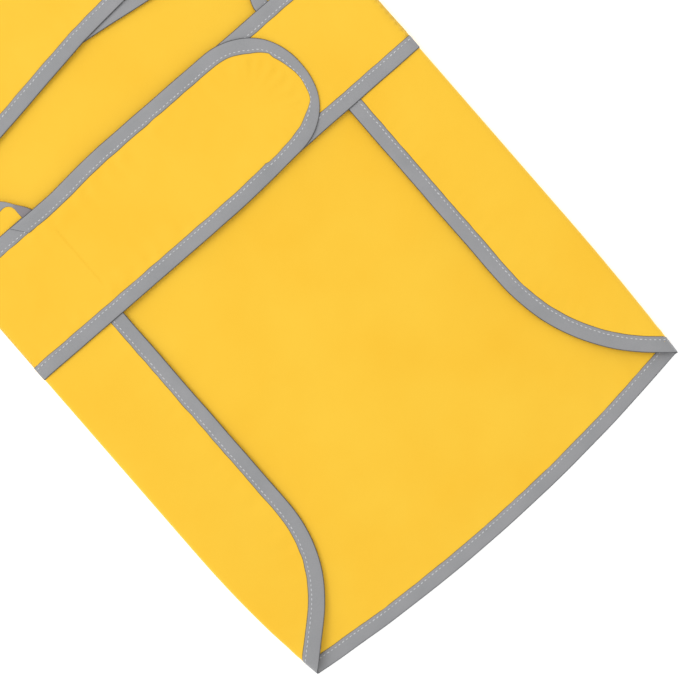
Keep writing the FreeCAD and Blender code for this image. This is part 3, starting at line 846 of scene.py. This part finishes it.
def backPieces():
    edge = halfWidth - cloth["seamInset"]
    hem = [(x, float(hemAt(x))) for x in np.linspace(-edge, edge, 120)]
    top = chestSeam(1, neck["y"] - 1)
    outline = (hem + [(edge, sideSeamEnd), top] + neckLine(np.linspace(top[0], -top[0], 60))[1:-1]
               + [chestSeam(-1, neck["y"] - 1), (-edge, sideSeamEnd)])
    hole = roundedSlot(slotShape["width"] + 1.0, slotShape["length"] + 1.0, slotShape["y"], 2.0)
    bound = [(x, float(hemAt(x))) for x in np.linspace(-edge, edge, 160)]
    panel = clothPiece("backCloth", outline, liftFlat(backHeight), step=3.4, holes=[hole], bound=np.array(bound))
    left, right = (halfWidth - fold["tuck"](hemCorner)[0] - 1.0 for fold in (leftFold, rightFold))
    hemEdge = [(x, float(hemAt(x))) for x in np.linspace(-left, right, 160)]
    binding, seams = tapePiece("hemTape", hemEdge, liftFlat(hemHeight), inwardSide=1, seed=51,
                               width=hemShape["tapeWidth"], half=hemShape["tapeHalf"])
    stitches = makeStitches("hemStitches", seams, greyThread)
    for piece in (panel, binding, stitches):
        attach(piece, "back")
    standsFor(panel, "coated_cloth", "back_panel")
    standsFor(binding, "reflective_tape", "tail_hem_binding")


backPieces()
print("back and hem made")
sidePieces(-1, leftFold, "left")
sidePieces(1, rightFold, "right")
print("sides made")

rootShape = {"wrap": 2.6, "raised": 0.85}  # the sewn roots end this far above the folds' middle, over the sides
strapShape = {"low": -8.0, "high": 82.0, "tip": 97.0, "join": -114.7, "joinLap": 12.0, "joinSlant": 0.83,
              "joinLift": 0.22, "underHalf": 0.42}
# the strap's outline: its rear and front edges as (x, how much further forward than straight), and its round end
# as the radius at some angles. The tape's width changes round the end too.
strapTip = {"rear": [(0, 0.0), (8, 0.2), (20, 0.6), (32, 1.2), (42, 2.0)],
            "front": [(40, 0), (-38, 0), (-52, -0.5), (-66, -1.6), (-80, -2.7), (-100, -2.8), (-120, -2.4),
                      (-140, -2.4)],
            "angle": [-90, -81, -60, -41, -30, -15, 0, 15, 35, 50, 90],
            "radius": [42.0, 42.6, 44.4, 45.4, 45.5, 44.8, 44.4, 44.8, 45.5, 45.4, 45.0],
            "tapeAngle": [-95, -65, -46, -33, -27, -2, 7, 23, 29, 48, 70],
            "tapeWidth": [9.2, 10.2, 8.5, 5.7, 5.5, 6.3, 7.5, 8.6, 7.3, 10.0, 10.0]}
flapShape = {"low": -4.8, "high": 81.0, "end": 5.0, "corner": 20.0}


def overHeight(heightOf, raised):
    def drop(x, y, d):
        return smooth((d - 2.5) / 6) * (heightOf(x, y) - (topMid + raised))
    return drop


def rootStart():  # how far up the fold a sewn root begins, along the flat cloth
    return math.asin(rootShape["wrap"] / (midRadius + rootShape["raised"])) * midRadius


def strapPieces():
    low, high = strapShape["low"], strapShape["high"]
    r = (high - low) / 2
    raised = rootShape["raised"]
    lift = liftFold(leftFold, raised, overHeight(strapHeight, raised))
    start = rootStart()
    angles = np.radians(np.linspace(-86, 88, 70))
    spread = np.interp(np.degrees(angles), strapTip["angle"], strapTip["radius"])
    centre = (strapShape["tip"] - r, low + r)
    roundEnd = [(centre[0] + s * math.cos(a), centre[1] + s * math.sin(a)) for a, s in zip(angles, spread)]
    rear = [(x, low + forward) for x, forward in strapTip["rear"]]
    front = [(x, high + forward) for x, forward in strapTip["front"]]
    body = roundOff(evenly(toFlat(leftFold, [(-140, low)] + rear + roundEnd + front, 1), 2.0), 3)
    outline = [(start, low)] + [tuple(p) for p in body] + [(start, body[-1][1])]
    edge = denseLine(outline, 2.0)
    creaseX = toFlat(leftFold, [(pressLine["x"], 0.0)], 1)[0, 0]
    crease = [(creaseX + k, y) for k in (-1.3, -0.65, 0.0, 0.65, 1.3) for y in np.arange(11.0, 64.0, 1.5)]
    panel = clothPiece("strapCloth", outline, lift, step=1.8, bound=np.array(edge), extra=np.array(crease))
    # one tape runs from the root round the end, and a second one starts under its slanted end
    joinX, frontY = toFlat(leftFold, [(strapShape["join"], body[-1][1])], 1)[0]
    zeroX = toFlat(leftFold, [(0.0, 0.0)], 1)[0, 0]
    main = [p for p in edge if not (p[1] > frontY - 0.6 and p[0] < joinX)]

    def tipWidth(path):
        x, y = path[:, 0] - zeroX - centre[0], path[:, 1] - centre[1]
        atEnd = np.interp(np.degrees(np.arctan2(y, x)), strapTip["tapeAngle"], strapTip["tapeWidth"])
        return np.where(x > -12, atEnd, tape["width"])

    binding, seams = tapePiece("strapTape", main, lift, inwardSide=1, seed=61, width=tipWidth,
                               cut=strapShape["joinSlant"], endLift=strapShape["joinLift"])
    rest = denseLine([(joinX + strapShape["joinLap"], frontY), (start, frontY)], 2.0)
    frontTape, frontSeams = tapePiece("strapFrontTape", rest, lift, inwardSide=1, seed=64,
                                      half=strapShape["underHalf"])
    hidden = 7  # sections of the second tape that lie inside the first
    stitches = makeStitches("strapStitches", seams + [(line[hidden:], up[hidden:], c) for line, up, c in frontSeams],
                            greyThread)
    for piece in (panel, binding, frontTape, stitches):
        peelOver(piece)
    standsFor(panel, "coated_cloth", "belly_strap", "left_strap_root")
    standsFor(binding, "reflective_tape", "belly_strap_binding", "left_root_rear_binding")
    standsFor(frontTape, "reflective_tape", "left_root_front_binding")


def flapPieces():
    low, high, r = flapShape["low"], flapShape["high"], flapShape["corner"]
    raised = rootShape["raised"]
    lift = liftFold(rightFold, raised, overHeight(flapHeight, raised))
    start = rootStart()
    x = flapShape["end"]
    freeEnd = arc((x + r, high - r), r, 90, 180, 16) + arc((x + r, low + r), r, 180, 270, 16)
    body = toFlat(rightFold, freeEnd, 1)
    outline = [(start, high)] + [tuple(p) for p in body] + [(start, low)]
    edge = denseLine(outline, 2.0)
    panel = clothPiece("flapCloth", outline, lift, step=2.8, bound=np.array(edge))
    binding, seams = tapePiece("flapTape", edge, lift, inwardSide=-1, seed=71)
    stitches = makeStitches("flapStitches", seams, greyThread)
    for piece in (panel, binding, stitches):
        peelOver(piece)
    standsFor(panel, "coated_cloth", "belly_flap", "right_strap_root")
    standsFor(binding, "reflective_tape", "belly_flap_binding", "right_root_rear_binding",
              "right_root_front_binding")


strapPieces()
flapPieces()
print("strap and flap made")

chestShape = {"foldY": 116.0, "middleY": 139.5, "endCentre": (48.0, 171.5), "endRadius": 28.5, "rightEnd": -1.5,
              "pastFold": 0.2}
# heights of the two chest flaps at some distances from the middle, measured along each flap from its own fold
chestLines = {-1: {"x": [-160, -120, -80, -30, 10, 40, 80], "z": [7.15, 5.6, 4.2, 3.9, 4.3, 4.6, 4.9]},
              1: {"x": [-160, -120, -80, -30, -5], "z": [7.15, 5.4, 3.8, 3.0, 2.8]}}
collarShape = {"thick": 0.9, "over": 0.35, "edge": 0.3, "corner": 8.0, "frontHalf": 0.75, "backHalf": 0.6,
               "belowThroat": 2.5}


def chestEdge(side):
    slope = (chestShape["middleY"] - chestShape["foldY"]) / halfWidth
    foldX = halfWidth + chestShape["pastFold"]
    start = (foldX * side, chestShape["middleY"] - slope * foldX)
    if side < 0:
        roundEnd = arc(chestShape["endCentre"], chestShape["endRadius"], -90, 90, 40)
        return [start, (0, chestShape["middleY"])] + roundEnd + [(-neck["throat"][0], neck["throat"][1])]
    end = chestShape["rightEnd"]
    return [start, (end, chestShape["middleY"] - slope * end), (end, neck["throat"][1])]


def chestHeights(side):
    def height(x, y, d):
        level = bellyLine(-x * side, chestLines[side]["x"], chestLines[side]["z"])
        return smooth((d - 3) / 22) * (level - topMid + 0.16 * waves(x, y, 52, 81 + side))
    return height


def chestPieces(side, fold, word):
    lift = liftFold(fold, 0.0, chestHeights(side))
    throat = (neck["throat"][0] * side, neck["throat"][1])
    top = toFlat(fold, evenly(chestEdge(side), 2.0), 1)
    top[0, 0] = 0.0
    bound = top
    if side > 0:
        top = np.vstack([top, toFlat(fold, [(neck["throat"][0], neck["throat"][1])], 1)])
    foldTop = fold["origin"] + fold["along"] * ((neck["y"] - fold["origin"][1]) / fold["along"][1])
    neckTop = toFlat(fold, denseLine([throat, tuple(foldTop)], 3.0), 1)
    neckTop[-1, 0] = 0.0
    neckSeam = toFlat(fold, [foldTop, chestSeam(side, neck["y"] - 1)], -1)
    start = toFlat(fold, [chestSeam(side, sideSeamEnd)], -1)
    outline = [tuple(p) for p in np.vstack([start, top, neckTop[1:], neckSeam[1:]])]
    panel = clothPiece(word + "ChestCloth", outline, lift, step=3.0, bound=top, folded=True)
    binding, seams = tapePiece(word + "ChestTape", np.vstack([start + [0.6, 0.2], bound]), lift, inwardSide=1,
                               seed=90 + side, foldEnds=True)
    stitches = makeStitches(word + "ChestStitches", seams, greyThread)
    for piece in (panel, binding, stitches):
        bendOver(piece, fold)
    standsFor(panel, "coated_cloth", word + "_chest_flap")
    standsFor(binding, "reflective_tape", word + "_chest_binding")
    collarFront(side, fold, word, lift, neckTop)


def collarFront(side, fold, word, chestLift, neckTop):  # the collar's front half, a doubled cloth
    name = "collar" + word.capitalize()
    collarEdge = collarTop - collarShape["edge"]
    foldEnd = fold["origin"] + fold["along"] * ((collarTop - fold["origin"][1]) / fold["along"][1])
    free = [(neck["throat"][0] * side, neck["end"]),
            (side * (chestFoldX(collarTop) - collarShape["corner"]), collarEdge), tuple(foldEnd)]
    freeFlat = toFlat(fold, denseLine(free, 2.0), 1)
    freeFlat[-1, 0] = 0.0
    under = toFlat(fold, [chestSeam(side, collarEdge), chestSeam(side, neck["y"] - 1)], -1)
    outline = [tuple(p) for p in np.vstack([neckTop, under[1:], under[:1], freeFlat[::-1]])]

    def height(x, y, d):
        return chestHeights(side)(x, y, d) + collarShape["over"] * smooth((d - 4) / 10)

    lift = liftFold(fold, 0.0, height)
    collar = clothPiece(name + "Cloth", outline, lift, step=3.0, thick=collarShape["thick"], folded=True)
    tapeStart = (neck["throat"][0] * side, neck["throat"][1] - collarShape["belowThroat"])
    bindTop = np.vstack([toFlat(fold, [tapeStart], 1), freeFlat, under[:1]])
    binding, seams = tapePiece(name + "Tape", bindTop, lift, inwardSide=1, seed=95 + side,
                               half=collarShape["frontHalf"], foldEnds=True)
    outward = normals(chestLift, neckTop)
    seam = chestLift(neckTop + [0, -neck["seamOffset"]]) + outward * 0.3
    stitches = makeStitches(name + "Stitches", seams + [(seam, outward, False)], greyThread)
    for piece in (collar, binding, stitches):
        bendOver(piece, fold)
    standsFor(collar, "coated_cloth", "collar_" + word)
    standsFor(binding, "reflective_tape", "collar_" + word + "_binding")


def collarBackPieces():
    low, high = chestSeam(1, neck["y"] - 1), chestSeam(1, collarTop - collarShape["edge"])
    outline = neckLine(np.linspace(-low[0], low[0], 60)) + [high, (-high[0], high[1])]
    lift = liftFlat(lambda x, y, d: backMid + collarShape["over"] + 0 * x)
    panel = clothPiece("collarBackCloth", outline, lift, step=3.2, thick=collarShape["thick"])
    edge = [(x, collarTop - collarShape["edge"]) for x in np.linspace(high[0] + 1, -high[0] - 1, 80)]
    binding, seams = tapePiece("collarBackTape", edge, lift, inwardSide=1, seed=99, half=collarShape["backHalf"])
    seam = lift(np.array(neckLine(np.linspace(-low[0], low[0], 80))))
    seam = seam + [0, -neck["seamOffset"], 0.3 - collarShape["over"]]
    stitches = makeStitches("collarBackStitches", seams + [(seam, np.tile([0, 0, 1.0], (len(seam), 1)), False)],
                            greyThread)
    for piece in (panel, binding, stitches):
        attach(piece, "back")
    standsFor(panel, "coated_cloth", "collar_back")
    standsFor(binding, "reflective_tape", "collar_back_binding")


chestPieces(-1, leftChestFold, "left")
chestPieces(1, rightChestFold, "right")
collarBackPieces()
print("chest flaps and collar made")

# hidden hook and loop patches between the layers, each sewn under or on its cloth
patchShape = {"thick": 0.4, "loft": 0.1, "corner": 5.0, "stitchInset": 4.0}
patches = {
    "bellyHook": {"x": (22, 78), "y": (12, 62), "node": "belly_hook_patch", "body": "belly_strap", "above": False},
    "bellyLoop": {"x": (20, 84), "y": (11, 63), "node": "belly_loop_patch", "body": "belly_flap", "above": True},
    "chestHook": {"x": (18, 64), "y": (155, 189), "node": "chest_hook_patch", "body": "left_chest", "above": False},
    "chestLoop": {"x": (18, 70), "y": (156, 187), "node": "chest_loop_patch", "body": "right_chest", "above": True},
}


def patchPieces():
    levels = {"bellyHook": lambda x, y: strapHeight(x, y), "bellyLoop": lambda x, y: flapHeight(x, y),
              "chestHook": lambda x, y: topMid + chestHeights(-1)(x, y, np.full(len(x), 99.0)),
              "chestLoop": lambda x, y: topMid + chestHeights(1)(x, y, np.full(len(x), 99.0))}
    for name, p in patches.items():
        above = 1 if p["above"] else -1
        offset = ((cloth["thick"] + patchShape["thick"]) / 2 + patchShape["loft"]) * above
        lift = liftFlat(lambda x, y, d, f=levels[name], o=offset: f(x, y) + o)
        (x0, x1), (y0, y1), r = p["x"], p["y"], patchShape["corner"]
        outline = (arc((x1 - r, y1 - r), r, 0, 90, 8) + arc((x0 + r, y1 - r), r, 90, 180, 8)
                   + arc((x0 + r, y0 + r), r, 180, 270, 8) + arc((x1 - r, y0 + r), r, 270, 360, 8))
        hooked = "Hook" in name
        piece = clothPiece(name + "Tape", outline, lift, material=hookNylon if hooked else loopNylon, step=2.6,
                           thick=patchShape["thick"])
        shrunk = np.array(outline)
        centre = shrunk.mean(0)
        shrunk = centre + (shrunk - centre) * (1 - patchShape["stitchInset"] / np.abs(shrunk - centre).max(0))
        line = lift(evenly(shrunk, 2.0, closed=True))
        outward = np.tile([0, 0, float(above)], (len(line), 1))
        onFace = line + outward * (patchShape["thick"] / 2 + 0.02)
        stitches = makeStitches(name + "Stitches", [(onFace, outward, True)], greyThread)
        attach(piece, p["body"])
        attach(stitches, p["body"])
        standsFor(piece, "hook_tape" if hooked else "loop_tape", p["node"])


leashShape = {"weltRaised": 0.2, "weltWidth": 3.4, "weltHalf": 0.75, "patchRaised": 0.55, "stitchInset": 2.0}
labelShape = {"thick": 0.25, "raised": 0.5, "bow": 0.004}


def nodeSize(node):  # a node's size across and along, and the middle of its length, in mm
    low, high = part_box(node)
    return (high.x - low.x) / mm, (high.y - low.y) / mm, (high.y + low.y) / 2 / mm


def leashPieces():
    lift = liftFlat(lambda x, y, d: backMid + leashShape["weltRaised"] + 0 * x)
    ring = roundedSlot(slotShape["width"], slotShape["length"], slotShape["y"], 1.5)
    welt, seams = tapePiece("leashWelt", ring, lift, closed=True, inwardSide=-1, width=leashShape["weltWidth"],
                            half=leashShape["weltHalf"], seed=111)
    stitches = makeStitches("leashStitches", seams, greyThread)
    width, length, _ = nodeSize("leash_port_patch")
    outline = roundedSlot(width, length, slotShape["y"], 3.0)
    over = liftFlat(lambda x, y, d: backMid + leashShape["patchRaised"] + 0 * x)
    hole = roundedSlot(slotShape["width"] + 1.0, slotShape["length"] + 1.0, slotShape["y"], 2.0)
    patch = clothPiece("leashPatch", outline, over, step=3.0, holes=[hole])
    inset = 2 * leashShape["stitchInset"]
    line = over(evenly(roundedSlot(width - inset, length - inset, slotShape["y"], 2.5), 2.0, closed=True))
    rim = (line + [0, 0, 0.27], np.tile([0, 0, 1.0], (len(line), 1)), True)
    rimStitches = makeStitches("leashPatchStitches", [rim], greyThread)
    for piece in (welt, stitches, patch, rimStitches):
        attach(piece, "back")
    standsFor(welt, "reflective_tape", "leash_port_welt")
    standsFor(patch, "coated_cloth", "leash_port_patch")


def labelPiece():
    width, length, middle = nodeSize("size_label")
    lift = liftFlat(lambda x, y, d: backMid + labelShape["raised"] + labelShape["bow"] * x ** 2 / 6 + 0 * y)
    label = clothPiece("sizeLabel", roundedSlot(width, length, middle, 1.0), lift, material=labelSatin, step=2.0,
                       thick=labelShape["thick"])
    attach(label, "back")
    standsFor(label, "label_cloth", "size_label")


patchPieces()
leashPieces()
labelPiece()
print("patches, leash opening and label made")

# floor and light
studio = {"floor": "#FFFFFF", "floorHalf": 4.0, "floorLevel": -0.0006, "glow": 0.35, "sky": 0.85, "key": 13.5,
          "keyPlace": (-0.9, 1.3, 1.7), "keySize": 1.4, "keyAim": (0, -0.05, 0)}
half, level = studio["floorHalf"], studio["floorLevel"]
floorCorners = [(-half, -half, level), (half, -half, level), (half, half, level), (-half, half, level)]
floorMesh = bpy.data.meshes.new("floor")
floorMesh.from_pydata(floorCorners, [], [(0, 1, 2, 3)])
floor = bpy.data.objects.new("floor", floorMesh)
bpy.context.scene.collection.objects.link(floor)
paper, tree, shader = newMaterial("white_background_paper")
shader.inputs["Base Color"].default_value = toLinear(studio["floor"])
shader.inputs["Roughness"].default_value = 0.9
shader.inputs["Emission Color"].default_value = (1, 1, 1, 1)
shader.inputs["Emission Strength"].default_value = studio["glow"]  # lit from behind, as a light table is
floorMesh.materials.append(paper)
world = bpy.data.worlds.new("studio")
bpy.context.scene.world = world
world.use_nodes = True
world.node_tree.nodes["Background"].inputs[0].default_value = (1, 1, 1, 1)
world.node_tree.nodes["Background"].inputs[1].default_value = studio["sky"]
bpy.context.scene.view_settings.view_transform = "Standard"


def softbox(name, place, size, power):
    light = bpy.data.lights.new(name, "AREA")
    light.shape = "DISK"
    light.size = size
    light.energy = power
    made = bpy.data.objects.new(name, light)
    bpy.context.scene.collection.objects.link(made)
    made.location = place
    made.rotation_euler = (Vector(studio["keyAim"]) - Vector(place)).to_track_quat("-Z", "Y").to_euler()


softbox("key", studio["keyPlace"], studio["keySize"], studio["key"])
print("studio made")
